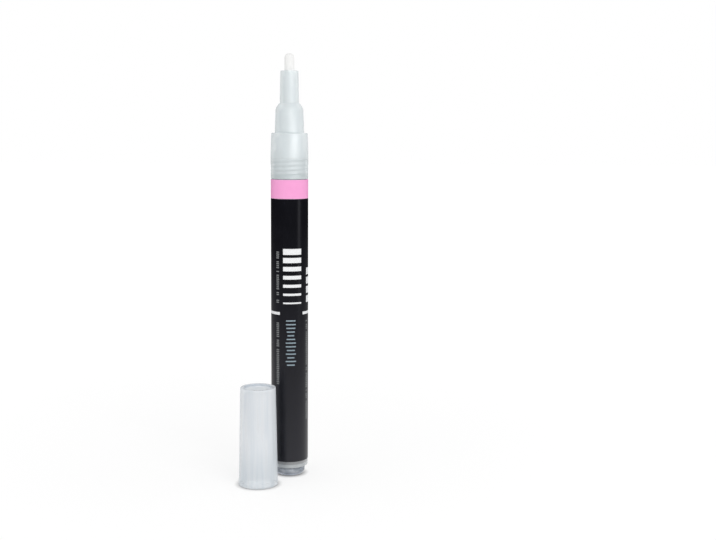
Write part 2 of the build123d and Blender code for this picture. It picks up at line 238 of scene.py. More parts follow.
class ColourSettings(PropertyGroup):
    """Colours of the pieces, and the tints that multiply them in places, most of them painted shade."""

    frost: colour("Frost", "Frosted plastic of the nose", 0.88, 0.94, 0.955)
    frost_deep: colour("Deep frost", "Thicker patches in the nose's plastic", 0.80, 0.865, 0.885)
    # Painted shade in the hollows of the thread that shows through the nose's collar
    ring_tint: colour("Ring tint", "Hollows of the thread in the nose's collar", 0.965, 0.97, 0.97)
    tier_tint: colour("Tier tint", "The nose below its tip", 0.95, 0.955, 0.96)
    # Painted shade at the foot of the nose's collar, next to the colour band
    collar_tint: colour("Collar tint", "Foot of the nose's collar", 0.87, 0.89, 0.89)
    cap: colour("Cap", "Frosted plastic of the cap", 0.96, 0.98, 1.0)
    cap_deep: colour("Deep cap", "Thicker patches in the cap's plastic", 0.84, 0.89, 0.94)
    # Painted shade on the cap below its liner, towards its mouth
    mouth_tint: colour("Mouth tint", "The cap below its liner", 0.88, 0.9, 0.91)
    # Painted shade on the wall of the dish in the cap's closed end
    dish_tint: colour("Dish tint", "Wall of the dish in the cap's closed end", 0.66, 0.71, 0.76)
    liner: colour("Liner", "Milky plastic of the cap's liner", 0.86, 0.90, 0.94)
    milk: colour("Milk", "Milky plastic of the barrel", 0.84, 0.88, 0.90)
    milk_deep: colour("Deep milk", "Thicker patches in the barrel's plastic", 0.76, 0.80, 0.83)
    label_tint: colour("Label tint", "The barrel in the shade of its label", 0.82, 0.82, 0.82)
    # Painted shade on the barrel just below its label
    strip_tint: colour("Strip tint", "The barrel just below its label", 0.62, 0.6, 0.6)
    clear: colour("Clear", "Clear plastic of the tail", 0.88, 0.93, 1.0)
    clear_deep: colour("Deep clear", "Flow marks in the tail's plastic", 0.30, 0.35, 0.42)
    # Painted shade on the tail where it goes into the barrel
    seat_tint: colour("Seat tint", "The tail where it goes into the barrel", 0.4, 0.42, 0.44)
    # Painted shade round the tail's lower edge
    foot_tint: colour("Foot tint", "Lower edge of the tail", 0.42, 0.45, 0.52)
    label: colour("Label", "Black film", 0.0025, 0.0025, 0.005)
    label_rubbed: colour("Rubbed label", "Black film where it is handled", 0.009, 0.009, 0.014)
    band: colour("Band", "Colour band", 0.947, 0.381, 0.686)
    band_rubbed: colour("Rubbed band", "Colour band where it is handled", 0.95, 0.46, 0.73)
    ink_white: colour("White ink", "Main marks on the label", 0.86, 0.87, 0.88)
    ink_white_rubbed: colour("Rubbed white ink", "Main marks where they are handled", 0.6, 0.61, 0.62)
    ink_grey: colour("Grey ink", "Small marks on the label", 0.23, 0.24, 0.24)
    ink_grey_rubbed: colour("Rubbed grey ink", "Small marks where they are handled", 0.10, 0.10, 0.10)
    ink_blue: colour("Blue-grey ink", "Middle marks on the label", 0.30, 0.38, 0.43)
    ink_blue_rubbed: colour("Rubbed blue-grey ink", "Middle marks where they are handled", 0.15, 0.19, 0.22)
    film_gloss: colour("Film gloss", "Gloss of the films and inks", 0.92, 0.92, 1.0)
    felt: colour("Felt", "Felt of the nib", 0.94, 0.94, 0.93)
    rubber: colour("Rubber", "Milky rubber of the gasket", 0.78, 0.79, 0.78)
    rubber_deep: colour("Deep rubber", "Thicker patches in the gasket", 0.66, 0.67, 0.66)
    valve: colour("Valve", "White plastic of the valve", 0.80, 0.81, 0.81)
    valve_deep: colour("Deep valve", "Thicker patches in the valve's plastic", 0.7, 0.72, 0.73)
    steel: colour("Steel", "Mixing balls and spring", 0.62, 0.63, 0.65)
    paper: colour("Paper", "Floor", 0.86, 0.86, 0.86)
    paper_pale: colour("Pale paper", "Fibres in the floor", 0.9, 0.9, 0.9)


class StageSettings(PropertyGroup):
    """Camera, light and floor."""

    distance: length("Distance", "Distance of the camera in front of the marker's axis", 361.9 * MM)
    height: length("Height", "Height of the camera above the floor", 113.5 * MM)
    aside: length("Aside", "How far the camera stands to the right of the axis", 7.91 * MM)
    pitch: angle("Pitch", "How far the camera looks down", 7.25)
    yaw: angle("Yaw", "How far the camera looks to the right", 2.25)
    roll: angle("Roll", "How far the camera leans", 0.39)
    focal: amount("Focal length", "Focal length in pixels of the image", 1126.7, min=1)
    clip_start: length("Clip start", "Nearest distance that the camera shows", 10 * MM)
    ambient: amount("Ambient", "Strength of the light from all round", 0.8)
    key: power("Key", "Power of the large soft lamp", 0.85)
    fill: power("Fill", "Power of the soft lamp on the left", 0.2)
    strip: power("Strip", "Power of the tall lamp that shows in the gloss", 0.18)
    sheen: power("Sheen", "Power of the lamp that shows in the nose's sheen", 10.3)
    aim: length("Aim", "Height that the lamps point at", 70 * MM)
    floor_reach: length("Floor reach", "Half the width of the floor", 3.0)
    sheet_reach: length("Sheet reach", "How far the floor's white reaches in glossy pieces", 0.3)
    contact: length("Contact", "Reach of the dark line where a piece stands", 1.8 * MM)
    glow: amount("Glow", "Strength of the floor's white", 1.1)
    shade: amount("Shade", "Share of the floor near the marker that is left to light and shadow", 0.36, max=1)
    shade_start: length("Shade start", "Distance at which that share starts to fall", 60 * MM)
    shade_end: length("Shade end", "Distance at which it is gone", 600 * MM)


class MarkerSettings(PropertyGroup):
    """All settings of the paint marker."""

    nose: PointerProperty(type=NoseSettings)
    thread: PointerProperty(type=ThreadSettings)
    barrel: PointerProperty(type=BarrelSettings)
    cap: PointerProperty(type=CapSettings)
    nib: PointerProperty(type=NibSettings)
    spring: PointerProperty(type=SpringSettings)
    film: PointerProperty(type=FilmSettings)
    colours: PointerProperty(type=ColourSettings)
    stage: PointerProperty(type=StageSettings)


def settings():
    """The marker's settings in this scene."""
    return bpy.context.scene.paint_marker


def tone(name):
    """A colour of the settings as four plain numbers."""
    return tuple(getattr(settings().colours, name))


# Turned pieces


def rounded_outline(corners):
    """Points of a closed outline of (radius, height, rounding) corners, with an arc at each rounded one."""
    points = []
    for index, (radius, height, rounding) in enumerate(corners):
        here = Vector((radius, height))
        if not rounding:
            points.append(here)
            continue
        back = (Vector(corners[index - 1][:2]) - here).normalized()
        ahead = (Vector(corners[(index + 1) % len(corners)][:2]) - here).normalized()
        half = back.angle(ahead) / 2
        centre = here + (back + ahead).normalized() * rounding / math.sin(half)
        spoke = here + back * rounding / math.tan(half) - centre
        turn = math.copysign(math.pi - 2 * half, ahead.cross(back))
        count = max(2, math.ceil(abs(turn) / ARC_STEP))
        for part in range(count + 1):
            points.append(centre + Matrix.Rotation(turn * part / count, 2) @ spoke)
    return points


def turned(name, corners, axis=(0, 0), segments=SEGMENTS):
    """A new object turned about an upright axis from (radius, height, rounding) corners."""
    work = bmesh.new()
    rings = []
    for radius, height in rounded_outline(corners):
        count = segments if radius > 0 else 1
        ring = []
        for part in range(count):
            bearing = 2 * math.pi * part / segments
            spot = (axis[0] + radius * math.cos(bearing), axis[1] + radius * math.sin(bearing), height)
            ring.append(work.verts.new(spot))
        rings.append(ring)
    for ring, following in zip(rings, rings[1:] + rings[:1]):
        if len(ring) == len(following) == 1:
            continue
        for part in range(segments):
            after = (part + 1) % segments
            if len(ring) == 1:
                work.faces.new((ring[0], following[part], following[after]))
            elif len(following) == 1:
                work.faces.new((ring[part], following[0], ring[after]))
            else:
                work.faces.new((ring[part], following[part], following[after], ring[after]))
    return piece_from(name, work)


def piece_from(name, work):
    """A new object from a bmesh, facing outwards, smooth over all but its sharp edges."""
    bmesh.ops.recalc_face_normals(work, faces=work.faces)
    mesh = bpy.data.meshes.new(name)
    work.to_mesh(mesh)
    work.free()
    mesh.shade_smooth()
    mesh.set_sharp_from_angle(angle=SHARP_ANGLE)
    piece = bpy.data.objects.new(name, mesh)
    bpy.context.scene.collection.objects.link(piece)
    return piece


def dress(piece, material, body, slot, *nodes):
    """Gives a piece its material, lets it ride on its body and stand for its CAD nodes."""
    if material.name not in piece.data.materials:
        piece.data.materials.append(material)
    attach(piece, body)
    if nodes:
        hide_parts(*nodes)


# Node trees

FLOAT, COLOUR, MATERIAL = "NodeSocketFloat", "NodeSocketColor", "NodeSocketMaterial"
INPUT_KINDS = {float: FLOAT, int: "NodeSocketInt", tuple: COLOUR, type(None): MATERIAL}
FIRST_NUMBER, SECOND_NUMBER = 2, 3  # sockets of a Mix node that mixes numbers
FIRST_COLOUR, SECOND_COLOUR, MIXED_COLOUR = 6, 7, 2  # sockets of one that mixes colours


def new_tree(name, kind, inputs, outputs):
    """A node group, with the sockets that bring its named inputs in and take its outputs out."""
    tree = bpy.data.node_groups.new(name, kind)
    for label, default in inputs.items():
        socket = tree.interface.new_socket(label, in_out="INPUT", socket_type=INPUT_KINDS[type(default)])
        if default is not None:
            socket.default_value = default
    for label, socket_kind in outputs.items():
        tree.interface.new_socket(label, in_out="OUTPUT", socket_type=socket_kind)
    return tree, tree.nodes.new("NodeGroupInput").outputs, tree.nodes.new("NodeGroupOutput").inputs


def group_once(make):
    """The node group that a function makes, built only once."""
    return bpy.data.node_groups.get(make.__name__) or make()


def fill(tree, node, inputs):
    """Fills a node's inputs with values or with other nodes' outputs."""
    for socket, value in inputs.items():
        if isinstance(value, bpy.types.NodeSocket):
            tree.links.new(value, node.inputs[socket])
        else:
            node.inputs[socket].default_value = value


def place(tree, kind, inputs=None, **options):
    """Adds a node, sets its options, fills its inputs and returns its outputs."""
    node = tree.nodes.new(kind)
    for key, value in options.items():
        setattr(node, key, value)
    fill(tree, node, inputs or {})
    return node.outputs


def maths(tree, operation, *values):
    """The result of a Math node."""
    return place(tree, "ShaderNodeMath", dict(enumerate(values)), operation=operation)[0]


def vector(tree, **parts):
    """A vector put together from its X, Y and Z."""
    return place(tree, "ShaderNodeCombineXYZ", parts)[0]


def parts_of(tree, whole):
    """The X, Y and Z of a vector."""
    return place(tree, "ShaderNodeSeparateXYZ", {0: whole})


def ramp(tree, value, start, end, low=0.0, high=1.0, shape="LINEAR"):
    """A value that runs from low at the start of a range to high at its end."""
    inputs = {"Value": value, "From Min": start, "From Max": end, "To Min": low, "To Max": high}
    return place(tree, "ShaderNodeMapRange", inputs, interpolation_type=shape)[0]


def object_spot(tree):
    """The spot on the piece, in the piece's own coordinates."""
    return place(tree, "ShaderNodeTexCoord")["Object"]


def drawn_out(tree, spot, factors):
    """A spot with each axis multiplied, so that a pattern on it is drawn out."""
    return place(tree, "ShaderNodeVectorMath", {0: spot, 1: factors}, operation="MULTIPLY")[0]


def noise(tree, spot, scale, detail):
    """A cloudy pattern."""
    return place(tree, "ShaderNodeTexNoise", {"Vector": spot, "Scale": scale, "Detail": detail})["Fac"]


def blend(tree, factor, first, second, **options):
    """A colour that runs from the first to the second."""
    inputs = {"Factor": factor, FIRST_COLOUR: first, SECOND_COLOUR: second}
    return place(tree, "ShaderNodeMix", inputs, data_type="RGBA", **options)[MIXED_COLOUR]


def between(tree, factor, first, second):
    """A number that runs from the first to the second."""
    return place(tree, "ShaderNodeMix", {"Factor": factor, FIRST_NUMBER: first, SECOND_NUMBER: second})[0]


def raised(tree, height, strength, distance, **under):
    """A normal that shows a height."""
    inputs = {"Height": height, "Strength": strength, "Distance": distance, **under}
    return place(tree, "ShaderNodeBump", inputs)[0]


# Geometry node trees


def geometry_tree(name, inputs):
    """A geometry tree with named inputs for its sizes and its material."""
    outputs = {"Geometry": "NodeSocketGeometry"}
    return new_tree(name, "GeometryNodeTree", {**inputs, "Material": None}, outputs)


def finish_tree(tree, geometry, given, result):
    """Ends a geometry tree in real geometry with its material set."""
    real = place(tree, "GeometryNodeRealizeInstances", {"Geometry": geometry})[0]
    painted = place(tree, "GeometryNodeSetMaterial", {"Geometry": real, "Material": given["Material"]})[0]
    tree.links.new(painted, result["Geometry"])
    return tree


def moved(tree, geometry, **how):
    """Geometry that is shifted or turned."""
    return place(tree, "GeometryNodeTransform", {"Geometry": geometry, **how})[0]


def about_z(tree, bearing):
    """A rotation about the Z axis."""
    return place(tree, "FunctionNodeEulerToRotation", {0: vector(tree, Z=bearing)})[0]


def spiral(tree, given, rise, steps):
    """A path that climbs round the Z axis at one radius."""
    inputs = {
        "Resolution": steps,
        "Rotations": given["Turns"],
        "Start Radius": given["Radius"],
        "End Radius": given["Radius"],
        "Height": rise,
    }
    return place(tree, "GeometryNodeCurveSpiral", inputs)[0]


def row_of_points(tree, count, step):
    """Points in a row, one step apart."""
    return place(tree, "GeometryNodeMeshLine", {"Count": count, "Offset": step}, mode="OFFSET")[0]


def helical_ridge():
    """A ridge that climbs round the Z axis as a right-hand thread, tapering at both ends."""
    tree, given, result = geometry_tree(
        "helical_ridge",
        {
            "Radius": 4.45 * MM,
            "Pitch": 1.4 * MM,
            "Turns": 4.0,
            "Depth": 0.4 * MM,
            "Root Width": 0.7 * MM,
            "Crest Width": 0.35 * MM,
            "Base Height": 0.0,
            "Bearing": 0.0,
            "Outward": 1.0,
            "Sink": 0.06 * MM,
        },
    )
    taper_share, end_share = 0.06, 0.12
    rise = maths(tree, "MULTIPLY", given["Pitch"], given["Turns"])
    path = spiral(tree, given, rise, steps=96)
    upright = place(tree, "GeometryNodeSetCurveNormal", {"Curve": path}, mode="Z_UP")[0]
    height = maths(tree, "ADD", given["Depth"], given["Sink"])
    widths = {"Bottom Width": given["Root Width"], "Top Width": given["Crest Width"], "Offset": 0.0}
    section = place(
        tree, "GeometryNodeCurvePrimitiveQuadrilateral", {**widths, "Height": height}, mode="TRAPEZOID"
    )[0]
    reach = maths(tree, "SUBTRACT", maths(tree, "MULTIPLY", height, 0.5), given["Sink"])
    inward = maths(tree, "MULTIPLY", given["Outward"], -1.0)
    set_out = moved(
        tree,
        section,
        Translation=vector(tree, X=maths(tree, "MULTIPLY", reach, inward)),
        Rotation=about_z(tree, maths(tree, "MULTIPLY", given["Outward"], math.pi / 2)),
    )
    along = place(tree, "GeometryNodeSplineParameter")["Factor"]
    from_middle = maths(tree, "ABSOLUTE", maths(tree, "SUBTRACT", along, 0.5))
    from_end = maths(tree, "SUBTRACT", 0.5, from_middle)
    taper = ramp(tree, from_end, 0.0, taper_share, low=end_share, shape="SMOOTHSTEP")
    inputs = {"Curve": upright, "Profile Curve": set_out, "Scale": taper, "Fill Caps": True}
    ridge = place(tree, "GeometryNodeCurveToMesh", inputs)[0]
    lift = vector(tree, Z=given["Base Height"])
    lifted = moved(tree, ridge, Translation=lift, Rotation=about_z(tree, given["Bearing"]))
    return finish_tree(tree, lifted, given, result)


def wrapped_bars():
    """A column of bars wrapped round the Z axis, such as printed marks or a film's overlap."""
    tree, given, result = geometry_tree(
        "wrapped_bars",
        {
            "Count": 1,
            "Pitch": 1.0 * MM,
            "First Size": 0.5 * MM,
            "Last Size": 0.5 * MM,
            "Arc Length": 1.0 * MM,
            "Arc Spread": 0.0,
            "Arc Steps": 6,
            "Bearing": 0.0,
            "Base Height": 0.0,
            "Radius": 6.0 * MM,
            "Thickness": 0.02 * MM,
            "Kept Share": 1.0,
            "Seed": 1,
        },
    )
    column = row_of_points(tree, given["Count"], vector(tree, Z=given["Pitch"]))
    index = place(tree, "GeometryNodeInputIndex")[0]
    last = maths(tree, "MAXIMUM", maths(tree, "SUBTRACT", given["Count"], 1.0), 1.0)
    growth = maths(tree, "SUBTRACT", given["Last Size"], given["First Size"])
    size = maths(tree, "MULTIPLY_ADD", growth, maths(tree, "DIVIDE", index, last), given["First Size"])
    chance = place(tree, "FunctionNodeRandomValue", {"Seed": given["Seed"]}, data_type="FLOAT")[1]
    spread = maths(tree, "MULTIPLY", chance, given["Arc Spread"])
    arc = maths(tree, "SUBTRACT", given["Arc Length"], spread)
    seed_step = 7.0
    odds = {"Probability": given["Kept Share"], "Seed": maths(tree, "ADD", given["Seed"], seed_step)}
    kept = place(tree, "FunctionNodeRandomValue", odds, data_type="BOOLEAN")[3]
    corners = {"Vertices X": given["Arc Steps"], "Vertices Y": 2, "Vertices Z": 2}
    block = place(tree, "GeometryNodeMeshCube", corners)[0]
    scale = vector(tree, X=arc, Y=given["Thickness"], Z=size)
    inputs = {"Points": column, "Selection": kept, "Instance": block, "Scale": scale}
    bars = place(tree, "GeometryNodeInstanceOnPoints", inputs)[0]
    solid = place(tree, "GeometryNodeRealizeInstances", {"Geometry": bars})[0]
    flat = parts_of(tree, place(tree, "GeometryNodeInputPosition")[0])
    bearing = maths(tree, "ADD", maths(tree, "DIVIDE", flat["X"], given["Radius"]), given["Bearing"])
    out = maths(tree, "ADD", given["Radius"], flat["Y"])
    spot = vector(
        tree,
        X=maths(tree, "MULTIPLY", out, maths(tree, "SINE", bearing)),
        Y=maths(tree, "MULTIPLY", out, maths(tree, "MULTIPLY", maths(tree, "COSINE", bearing), -1.0)),
        Z=maths(tree, "ADD", flat["Z"], given["Base Height"]),
    )
    wrapped = place(tree, "GeometryNodeSetPosition", {"Geometry": solid, "Position": spot})[0]
    return finish_tree(tree, wrapped, given, result)


def ribs_in_bore():
    """Upright ribs set evenly round the Z axis inside a bore."""
    tree, given, result = geometry_tree(
        "ribs_in_bore",
        {
            "Count": 4,
            "Inner Radius": 1.6 * MM,
            "Outer Radius": 2.0 * MM,
            "Width": 0.6 * MM,
            "Base Height": 0.0,
            "Rise": 8.0 * MM,
        },
    )
    spots = row_of_points(tree, given["Count"], (0, 0, 0))
    depth = maths(tree, "SUBTRACT", given["Outer Radius"], given["Inner Radius"])
    both = maths(tree, "ADD", given["Outer Radius"], given["Inner Radius"])
    size = vector(tree, X=depth, Y=given["Width"], Z=given["Rise"])
    block = place(tree, "GeometryNodeMeshCube", {"Size": size})[0]
    lift = maths(tree, "MULTIPLY_ADD", given["Rise"], 0.5, given["Base Height"])
    rib = moved(tree, block, Translation=vector(tree, X=maths(tree, "MULTIPLY", both, 0.5), Z=lift))
    index = place(tree, "GeometryNodeInputIndex")[0]
    bearing = maths(tree, "MULTIPLY", maths(tree, "DIVIDE", index, given["Count"]), 2 * math.pi)
    inputs = {"Points": spots, "Instance": rib, "Rotation": about_z(tree, bearing)}
    ring = place(tree, "GeometryNodeInstanceOnPoints", inputs)[0]
    return finish_tree(tree, ring, given, result)


def coiled_wire():
    """A round wire wound round the Z axis, with its turns closer at both ends."""
    tree, given, result = geometry_tree(
        "coiled_wire",
        {
            "Radius": 1.5 * MM,
            "Wire": 0.36 * MM,
            "Turns": 6.0,
            "Base Height": 0.0,
            "Rise": 8.0 * MM,
            "End Share": 0.35,
        },
    )
    path = spiral(tree, given, given["Rise"], steps=48)
    along = place(tree, "GeometryNodeSplineParameter")["Factor"]
    wave = maths(tree, "SINE", maths(tree, "MULTIPLY", along, 2 * math.pi))
    share = maths(tree, "MULTIPLY", given["Rise"], given["End Share"])
    swing = maths(tree, "MULTIPLY", share, -0.5 / math.pi)
    shift = vector(tree, Z=maths(tree, "MULTIPLY_ADD", wave, swing, given["Base Height"]))
    wound = place(tree, "GeometryNodeSetPosition", {"Geometry": path, "Offset": shift})[0]
    round_section = {"Resolution": 12, "Radius": maths(tree, "MULTIPLY", given["Wire"], 0.5)}
    section = place(tree, "GeometryNodeCurvePrimitiveCircle", round_section)[0]
    inputs = {"Curve": wound, "Profile Curve": section, "Fill Caps": True}
    wire = place(tree, "GeometryNodeCurveToMesh", inputs)[0]
    return finish_tree(tree, wire, given, result)


def grown(name, make, material, **values):
    """A new plain mesh object from a geometry tree, with the tree's inputs set by name."""
    source = bpy.data.objects.new(name + "_source", bpy.data.meshes.new(name + "_source"))
    bpy.context.scene.collection.objects.link(source)
    modifier = source.modifiers.new("shape", "NODES")
    modifier.node_group = group_once(make)
    for item in modifier.node_group.interface.items_tree:
        if item.in_out != "INPUT":
            continue
        key = item.name.lower().replace(" ", "_")
        if item.socket_type == MATERIAL:
            modifier[item.identifier] = material
        elif key in values:
            modifier[item.identifier] = values[key]
    bpy.context.view_layer.update()
    ready = source.evaluated_get(bpy.context.evaluated_depsgraph_get())
    mesh = bpy.data.meshes.new_from_object(ready)
    source.modifiers.remove(modifier)
    bpy.data.objects.remove(source)
    work = bmesh.new()
    work.from_mesh(mesh)
    bpy.data.meshes.remove(mesh)
    if not work.faces:
        raise RuntimeError(f"{name} came out empty")
    piece = piece_from(name, work)
    piece.data.materials.append(material)
    return piece


def wind_thread(name, material, radius, **way):
    """A thread's ridge on a wall, between the heights of the barrel's neck."""
    thread = settings().thread
    return grown(
        name,
        helical_ridge,
        material,
        radius=radius,
        pitch=thread.pitch,
        turns=thread.turns,
        depth=thread.depth,
        root_width=thread.root,
        crest_width=thread.crest,
        base_height=high_end("barrel") - settings().barrel.neck_length + thread.start,
        sink=thread.sink,
        **way,
    )


# Shader groups


def moulded_flow():
    """Cloudy patches drawn out along the flow of moulded plastic, with a fine grain on the surface."""
    tree, given, result = new_tree(
        "moulded_flow",
        "ShaderNodeTree",
        {
            "Pale": (0.85, 0.88, 0.9, 1),
            "Deep": (0.75, 0.8, 0.84, 1),
            "Cloud Scale": 300.0,
            "Flow": 0.3,
            "Grain Scale": 9000.0,
            "Low Roughness": 0.3,
            "High Roughness": 0.45,
        },
        {"Colour": COLOUR, "Roughness": FLOAT, "Height": FLOAT},
    )
    spot = object_spot(tree)
    flow = drawn_out(tree, spot, vector(tree, X=1.0, Y=1.0, Z=given["Flow"]))
    patch = ramp(tree, noise(tree, flow, given["Cloud Scale"], detail=3.0), start=0.32, end=0.68)
    rough = ramp(tree, patch, 0.0, 1.0, low=given["High Roughness"], high=given["Low Roughness"])
    tree.links.new(blend(tree, patch, given["Deep"], given["Pale"]), result["Colour"])
    tree.links.new(rough, result["Roughness"])
    tree.links.new(noise(tree, spot, given["Grain Scale"], detail=2.0), result["Height"])
    return tree


def handling_marks():
    """A mask of faint rubbed patches and fine scratches from handling."""
    tree, given, result = new_tree(
        "handling_marks",
        "ShaderNodeTree",
        {"Patch Scale": 120.0, "Scratch Scale": 1500.0, "Amount": 0.5},
        {"Mask": FLOAT, "Height": FLOAT},
    )
    spot = object_spot(tree)
    upright = drawn_out(tree, spot, factors=(1.0, 1.0, 0.12))
    scratches = noise(tree, upright, given["Scratch Scale"], detail=3.0)
    fine = ramp(tree, scratches, start=0.5, end=0.75)
    rubbed = ramp(tree, noise(tree, spot, given["Patch Scale"], detail=4.0), start=0.42, end=0.72)
    both = maths(tree, "MULTIPLY", maths(tree, "MULTIPLY_ADD", fine, 0.5, 0.5), rubbed)
    tree.links.new(maths(tree, "MULTIPLY", both, given["Amount"]), result["Mask"])
    tree.links.new(scratches, result["Height"])
    return tree


def thread_shadow():
    """A mask that climbs round the Z axis with a thread's pitch, between two heights, for painted shade in
    the thread's hollows and in a band at its lower end.
    """
    tree, given, result = new_tree(
        "thread_shadow",
        "ShaderNodeTree",
        {"Pitch": 1.4 * MM, "Low": 0.0, "High": 6.0 * MM, "Phase": 0.0},
        {"Mask": FLOAT, "Height": FLOAT},
    )
    fade = 0.5 * MM
    axes = parts_of(tree, object_spot(tree))
    turn = maths(tree, "DIVIDE", maths(tree, "ARCTAN2", axes["Y"], axes["X"]), 2 * math.pi)
    rise = maths(tree, "ADD", maths(tree, "DIVIDE", axes["Z"], given["Pitch"]), given["Phase"])
    climb = maths(tree, "SUBTRACT", rise, turn)
    wave = maths(tree, "SINE", maths(tree, "MULTIPLY", climb, 2 * math.pi))
    swell = maths(tree, "MULTIPLY_ADD", wave, 0.5, 0.5)
    foot = ramp(tree, axes["Z"], given["Low"], maths(tree, "ADD", given["Low"], fade))
    head = ramp(tree, axes["Z"], given["High"], maths(tree, "SUBTRACT", given["High"], fade))
    window = maths(tree, "MULTIPLY", foot, head)
    hollow = maths(tree, "MULTIPLY", maths(tree, "SUBTRACT", 1.0, swell), window)
    # Painted shade in a band at the lower end of the thread
    dim = ramp(tree, axes["Z"], maths(tree, "ADD", given["Low"], 2 * fade), given["Low"])
    tree.links.new(maths(tree, "MAXIMUM", hollow, dim), result["Mask"])
    tree.links.new(maths(tree, "MULTIPLY", swell, window), result["Height"])
    return tree


def height_fade():
    """A mask that runs from nothing at one height to full at another."""
    tree, given, result = new_tree(
        "height_fade", "ShaderNodeTree", {"None At": 0.0, "Full At": 1.0 * MM}, {"Mask": FLOAT}
    )
    height = parts_of(tree, object_spot(tree))["Z"]
    mask = ramp(tree, height, given["None At"], given["Full At"], shape="SMOOTHSTEP")
    tree.links.new(mask, result["Mask"])
    return tree


def place_group(tree, make, **values):
    """Places a shader group with its own values, named like its inputs, and returns its outputs."""
    node = tree.nodes.new("ShaderNodeGroup")
    node.node_tree = group_once(make)
    fill(tree, node, {key.replace("_", " ").title(): value for key, value in values.items()})
    return node.outputs


# Materials


def shader_of(material):
    """The Principled shader of a material."""
    return next(node for node in material.node_tree.nodes if node.type == "BSDF_PRINCIPLED")


def new_material(name):
    """A new material, its tree and its Principled shader."""
    material = bpy.data.materials.new(name)
    material.use_nodes = True
    return material, material.node_tree, shader_of(material)


def plastic(
    name,
    pale,
    deep,
    roughness,
    transmission=0.0,
    alpha=1.0,
    ior=1.49,
    cloud=300.0,
    flow=0.3,
    grain=0.006 * MM,
):
    """Moulded plastic, clear to opaque, with flow clouds and a fine grain."""
    material, tree, shader = new_material(name)
    low, high = roughness
    flows = place_group(
        tree,
        moulded_flow,
        pale=pale,
        deep=deep,
        cloud_scale=cloud,
        flow=flow,
        low_roughness=low,
        high_roughness=high,
    )
    look = {
        "Base Color": flows["Colour"],
        "Roughness": flows["Roughness"],
        "Normal": raised(tree, flows["Height"], strength=0.35, distance=grain),
        "Transmission Weight": transmission,
        "Alpha": alpha,
        "IOR": ior,
    }
    fill(tree, shader, look)
    return material


def deepen(material, mask, tint):
    """Multiplies a material's colour by a tint where a mask is full."""
    tree, shader = material.node_tree, shader_of(material)
    plain = shader.inputs["Base Color"].links[0].from_socket
    fill(tree, shader, {"Base Color": blend(tree, mask, plain, tint, blend_type="MULTIPLY")})


def height_mask(material, none_at, full_at):
    """A mask in a material that sets in between two heights."""
    return place_group(material.node_tree, height_fade, none_at=none_at, full_at=full_at)["Mask"]


def worn(tree, marks, fresh, rubbed, roughness):
    """Colour and roughness of a surface that handling has marked."""
    low, high = roughness
    return {
        "Base Color": blend(tree, marks["Mask"], fresh, rubbed),
        "Roughness": ramp(tree, marks["Mask"], 0.0, 1.0, low, high),
    }


def film(name, fresh, rubbed, roughness, specular):
    """Printed film or ink with faint handling marks."""
    material, tree, shader = new_material(name)
    marks = place_group(tree, handling_marks)
    fill(tree, shader, worn(tree, marks, fresh, rubbed, roughness))
    look = {
        "Normal": raised(tree, marks["Height"], strength=0.2, distance=0.004 * MM),
        "Specular IOR Level": specular,
        "Specular Tint": tone("film_gloss"),
    }
    fill(tree, shader, look)
    return material


def ink(name):
    """A printing ink in one of the settings' ink colours."""
    fresh, rubbed = tone(f"ink_{name}"), tone(f"ink_{name}_rubbed")
    return film(f"{name}_ink_look", fresh, rubbed, roughness=(0.45, 0.6), specular=0.3)


def dimmed(tint, share):
    """A colour with a share of its light."""
    return (*(part * share for part in tint[:3]), 1)


def felt(name, tint):
    """Pressed felt with fibres along the nib."""
    material, tree, shader = new_material(name)
    upright = drawn_out(tree, object_spot(tree), factors=(1.0, 1.0, 0.15))
    fibres = noise(tree, upright, scale=4200.0, detail=4.0)
    look = {
        "Base Color": blend(tree, fibres, dimmed(tint, share=0.86), tint),
        "Normal": raised(tree, fibres, strength=0.5, distance=0.03 * MM),
        "Roughness": 0.9,
        "Sheen Weight": 0.25,
        "Specular IOR Level": 0.2,
    }
    fill(tree, shader, look)
    return material


def steel(name, tint, roughness):
    """Bright steel with faint marks from tumbling."""
    material, tree, shader = new_material(name)
    marks = place_group(tree, handling_marks, patch_scale=900.0, scratch_scale=5000.0, amount=0.6)
    fill(tree, shader, worn(tree, marks, tint, dimmed(tint, share=0.8), roughness))
    fill(tree, shader, {"Metallic": 1.0})
    return material


def nose_plastic():
    """Frosted plastic of the nose, with the thread showing through its collar, and painted shade in the
    thread's hollows and at the collar's foot.
    """
    material = plastic(
        "nose_look", tone("frost"), tone("frost_deep"), roughness=(0.55, 0.66), alpha=0.58, ior=1.46
    )
    tree, shader = material.node_tree, shader_of(material)
    base = low_end("nose")
    shoulder = base + settings().nose.shoulder
    # Painted shade in the hollows of the thread and in a band at its lower end
    rings = place_group(
        tree,
        thread_shadow,
        pitch=settings().thread.pitch,
        low=base + 0.6 * MM,
        high=high_end("barrel") + 0.2 * MM,
        phase=0.5,
    )
    deepen(material, rings["Mask"], tone("ring_tint"))
    tiers = height_mask(material, none_at=shoulder + 4 * MM, full_at=shoulder - 2 * MM)
    deepen(material, tiers, tone("tier_tint"))
    # Painted shade at the foot of the collar
    foot = height_mask(material, none_at=base + 2 * MM, full_at=base + 0.8 * MM)
    deepen(material, foot, tone("collar_tint"))
    grain = shader.inputs["Normal"].links[0].from_socket
    swell = raised(tree, rings["Height"], strength=1.0, distance=0.17 * MM, Normal=grain)
    fill(tree, shader, {"Normal": swell, "Specular IOR Level": 1.0})
    return material


